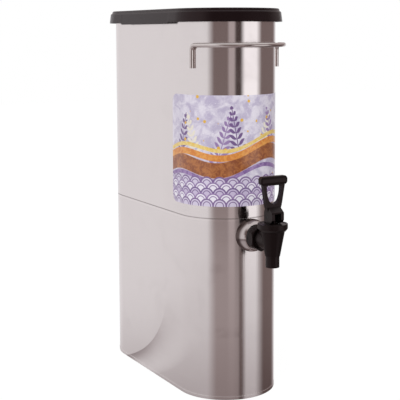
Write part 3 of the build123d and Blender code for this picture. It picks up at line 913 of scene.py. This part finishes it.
lever = joined(joined(loop, grip), block)
pin_hole = bmesh.new()
bmesh.ops.create_cone(pin_hole, cap_ends=True, segments=32, radius1=2.0 * MM, radius2=2.0 * MM,
                      depth=30 * MM)
lever = joined(lever, moved(pin_hole, Matrix.Rotation(math.pi / 2, 4, "Y")), "DIFFERENCE")
make_piece("tilt_lever", moved(lever, pin_frame), "lever", "tap_lever", "tap_plastic", tap_plastic)

# %% [markdown]
# ## Printed label
#
# A printed film runs round the front of the tank. Its pattern is a plain one: ribbons in tea and
# amber tones, rows of scallops, sprigs and dots on a pale lilac ground. The film is a flat sheet
# with rounded corners that is cut into strips and bent round the oval. Its UV map is measured in
# millimetres, so every motif is laid out like a drawing.

# %% Label film
label_low, label_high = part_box("front_label")
label_half = side_start + (label_high.y - front_axis)
film_out = 0.025 * MM
film_thick = 0.2 * MM


def wrap_round(bm):
    """Bend a flat sheet in the XZ plane round the front of the oval, its Y pointing inwards."""
    for vert in bm.verts:
        s, out = vert.co.x, end_radius + film_out - vert.co.y
        if abs(s) <= side_start:
            turn = s / end_radius
            vert.co = Vector((out * math.sin(turn), front_axis - out * math.cos(turn), vert.co.z))
        else:
            past = abs(s) - side_start
            vert.co = Vector((math.copysign(out, s), front_axis + past, vert.co.z))


film = bmesh.new()
low, high, wide = label_low.z / MM, label_high.z / MM, label_half / MM
draw_outline(film, scaled([(-wide, low, 12), (wide, low, 12), (wide, high, 12), (-wide, high, 12)]),
             segments=8)
bmesh.ops.contextual_create(film, geom=list(film.edges))
strip, cuts = 3, 46
for step in range(-cuts, cuts + 1):
    bmesh.ops.bisect_plane(film, geom=list(film.verts) + list(film.edges) + list(film.faces),
                           dist=1e-7, plane_co=(step * strip * MM, 0, 0), plane_no=(1, 0, 0))
back = bmesh.ops.extrude_face_region(film, geom=list(film.faces))["geom"]
front = [part for part in back if isinstance(part, bmesh.types.BMVert)]
bmesh.ops.translate(film, verts=front, vec=(0, -film_thick, 0))
drawing = film.loops.layers.uv.new("drawing")
for face in film.faces:
    for loop in face.loops:
        loop[drawing].uv = (loop.vert.co.x / MM, loop.vert.co.z / MM - low)
wrap_round(film)
bmesh.ops.recalc_face_normals(film, faces=film.faces)
print("label", round(2 * wide), "by", round(high - low), "mm")

# %% Groups: the label's motifs
scallop_row, given, made = new_group(
    "scallop_row", [("Map", None), ("Line", 0.0), ("Shift", 0.0), ("Pitch", 19.0)],
    ["Mask", "Ring"])
tree = scallop_row
at = add(tree, "SeparateXYZ", {0: given["Map"]}).outputs
cell = maths(tree, "ADD", maths(tree, "DIVIDE", at[0], given["Pitch"]), given["Shift"])
side = maths(tree, "SUBTRACT", maths(tree, "FRACT", cell), 0.5)
rise = maths(tree, "DIVIDE", maths(tree, "SUBTRACT", at[1], given["Line"]), given["Pitch"])
far = maths(tree, "SQRT", maths(tree, "ADD", maths(tree, "MULTIPLY", side, side),
                                maths(tree, "MULTIPLY", rise, rise)))
tree.links.new(span(tree, far, 0.56, 0.54), made["Mask"])
rim = maths(tree, "ABSOLUTE", maths(tree, "SUBTRACT", far, 0.50))
thin = maths(tree, "ABSOLUTE", maths(tree, "SUBTRACT", far, 0.30))
tree.links.new(maths(tree, "MULTIPLY", span(tree, rim, 0.05, 0.07), span(tree, thin, 0.025, 0.045)),
               made["Ring"])

ribbon, given, made = new_group(
    "ribbon", [("Map", None), ("Height", 80.0), ("Slope", 0.2), ("Swing", 8.0), ("Turns", 0.05),
               ("Start", 0.0), ("Half width", 4.0)], ["Mask", "Across"])
tree = ribbon
at = add(tree, "SeparateXYZ", {0: given["Map"]}).outputs
swing = maths(tree, "SINE", maths(tree, "MULTIPLY_ADD", at[0], given["Turns"], given["Start"]))
middle = maths(tree, "MULTIPLY_ADD", at[0], given["Slope"], given["Height"])
middle = maths(tree, "MULTIPLY_ADD", swing, given["Swing"], middle)
off = maths(tree, "DIVIDE", maths(tree, "SUBTRACT", at[1], middle), given["Half width"])
tree.links.new(span(tree, maths(tree, "ABSOLUTE", off), 1.0, 0.88), made["Mask"])
tree.links.new(off, made["Across"])

sprig, given, made = new_group(
    "sprig", [("Map", None), ("Length", 60.0), ("Leaf", 15.0), ("Pitch", 9.0)], ["Mask"])
tree = sprig
at = add(tree, "SeparateXYZ", {0: given["Map"]}).outputs
side = maths(tree, "ABSOLUTE", at[0])
reach = maths(tree, "MULTIPLY", given["Leaf"],
              maths(tree, "SQRT", maths(tree, "MAXIMUM", maths(tree, "SUBTRACT", 1.0,
                    maths(tree, "DIVIDE", at[1], given["Length"])), 0.0)))
part = maths(tree, "DIVIDE", side, maths(tree, "MAXIMUM", reach, 0.01))
climbed = maths(tree, "SUBTRACT", at[1], maths(tree, "MULTIPLY", side, 0.75))
cell = maths(tree, "ABSOLUTE", maths(tree, "SUBTRACT", maths(tree, "FRACT", maths(
    tree, "DIVIDE", climbed, given["Pitch"])), 0.5))
swell = maths(tree, "MULTIPLY", maths(tree, "SINE", maths(
    tree, "MULTIPLY", maths(tree, "MINIMUM", part, 1.0), math.pi)), 0.36)
leaf = span(tree, maths(tree, "SUBTRACT", swell, cell), 0.0, 0.05)
stem_line = span(tree, side, 0.8, 0.5)
inside = maths(tree, "MULTIPLY", maths(tree, "GREATER_THAN", at[1], 0.0),
               maths(tree, "LESS_THAN", at[1], given["Length"]))
drawn = maths(tree, "MAXIMUM", leaf, stem_line)
tree.links.new(maths(tree, "MULTIPLY", drawn, inside), made["Mask"])

# %% Label print
label_film, tree, shader = start_material("label_print", (0.6, 0.54, 0.68), 0.3, Coat_Weight=0.4,
                                          Coat_Roughness=0.12)
drawing = add(tree, "UVMap", uv_map="drawing").outputs[0]
cloud = noise(tree, drawing, 0.06, 4.0, 0.6, 0.6)
speck = noise(tree, drawing, 0.5, 3.0, 0.6)
paint = blend(tree, span(tree, cloud, 0.35, 0.65), (0.47, 0.42, 0.56, 1), (0.72, 0.68, 0.76, 1))
paint = blend(tree, span(tree, speck, 0.6, 0.7), paint, (0.85, 0.82, 0.87, 1))


def placed(x, y, degrees):
    """The drawing's coordinates seen from a point and turned."""
    here = add(tree, "Mapping", {0: drawing, 1: (x, y, 0), 2: (0, 0, math.radians(degrees))},
               vector_type="TEXTURE")
    return here.outputs[0]


sprigs = [
    (-118, 62, 12, 74, 15, (0.16, 0.09, 0.24)), (-84, 70, -14, 66, 13, (0.78, 0.72, 0.60)),
    (-52, 60, 16, 78, 16, (0.30, 0.20, 0.40)), (-20, 84, -10, 62, 13, (0.16, 0.09, 0.24)),
    (14, 74, 20, 66, 14, (0.80, 0.74, 0.62)), (46, 84, -16, 60, 14, (0.30, 0.20, 0.40)),
    (80, 70, 14, 70, 15, (0.16, 0.09, 0.24)), (116, 66, -10, 72, 14, (0.78, 0.72, 0.60)),
]
for x, y, degrees, length, leaf, colour in sprigs:
    mask = use_group(tree, sprig, {"Map": placed(x, y, -degrees), "Length": float(length),
                                   "Leaf": float(leaf)})["Mask"]
    paint = blend(tree, mask, paint, (*colour, 1))

dots = add(tree, "TexVoronoi", {"Vector": drawing, "Scale": 0.09, "Randomness": 0.8})
draw = add(tree, "SeparateColor", {0: dots.outputs["Color"]}).outputs[0]
lucky = maths(tree, "GREATER_THAN", draw, 0.55)
dot_mask = maths(tree, "MULTIPLY", span(tree, dots.outputs["Distance"], 0.24, 0.2), lucky)
paint = blend(tree, dot_mask, paint, (0.72, 0.42, 0.05, 1))

ribbons = [
    (66, 0.10, 9, 0.042, 0.4, 12.0, (0.24, 0.065, 0.02), (0.42, 0.15, 0.04)),
    (82, 0.10, 8, 0.042, 0.1, 5.0, (0.62, 0.20, 0.03), (0.75, 0.34, 0.07)),
    (92, 0.10, 8, 0.042, -0.1, 3.0, (0.74, 0.50, 0.10), (0.80, 0.62, 0.24)),
    (49, 0.08, 8, 0.046, 0.7, 3.2, (0.20, 0.11, 0.30), (0.34, 0.22, 0.44)),
]
for height, slope, swing, turns, begin, half, dark, light in ribbons:
    band = use_group(tree, ribbon, {"Map": drawing, "Height": float(height), "Slope": slope,
                                    "Swing": float(swing), "Turns": turns, "Start": begin,
                                    "Half width": half})
    streak = noise(tree, drawing, 0.14, 4.0, 0.65, 1.2)
    ink = blend(tree, span(tree, streak, 0.38, 0.62), (*dark, 1), (*light, 1))
    paint = blend(tree, band["Mask"], paint, ink)

scallop_rows = [
    (33, 0.0, (0.20, 0.12, 0.28), (0.62, 0.56, 0.70)),
    (25, 0.5, (0.26, 0.17, 0.36), (0.78, 0.74, 0.82)),
    (17, 0.0, (0.17, 0.10, 0.26), (0.55, 0.47, 0.64)),
    (9, 0.5, (0.28, 0.18, 0.38), (0.80, 0.77, 0.84)),
    (1, 0.0, (0.20, 0.12, 0.28), (0.62, 0.56, 0.70)),
]
for line, shift, outline, inner in scallop_rows:
    row = use_group(tree, scallop_row, {"Map": drawing, "Line": float(line), "Shift": shift})
    ink = blend(tree, span(tree, row["Ring"], 0.3, 0.7), (*outline, 1), (*inner, 1))
    paint = blend(tree, row["Mask"], paint, ink)
tree.links.new(paint, shader["Base Color"])
tree.links.new(maths(tree, "MULTIPLY_ADD", cloud, 0.1, 0.25), shader["Roughness"])
make_piece("label_print", film, "dispenser", "front_label", "label_print", label_film)

# %% [markdown]
# ## Parts inside
#
# The floor, the sump, the outlet tube, the seal, the bell, the spring and the lever's pin keep
# their CAD shapes. On the real tap the bell and the spring change shape with the stem. Here they
# are rigid and stay on their bodies. All of them get finishes of their own.

# %% Inner finishes
kept_shapes = [
    ("tank_bottom", inner_steel), ("sump_cup", inner_steel), ("outlet_spud", inner_steel),
    ("shank_seal", soft_silicone), ("seat_cup", soft_silicone), ("return_spring", wire_steel),
    ("lever_pin", pin_plastic),
]
for node, material in kept_shapes:
    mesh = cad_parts[node].data
    mesh.materials.clear()
    mesh.materials.append(material)
print("nodes that keep their shapes", len(kept_shapes))
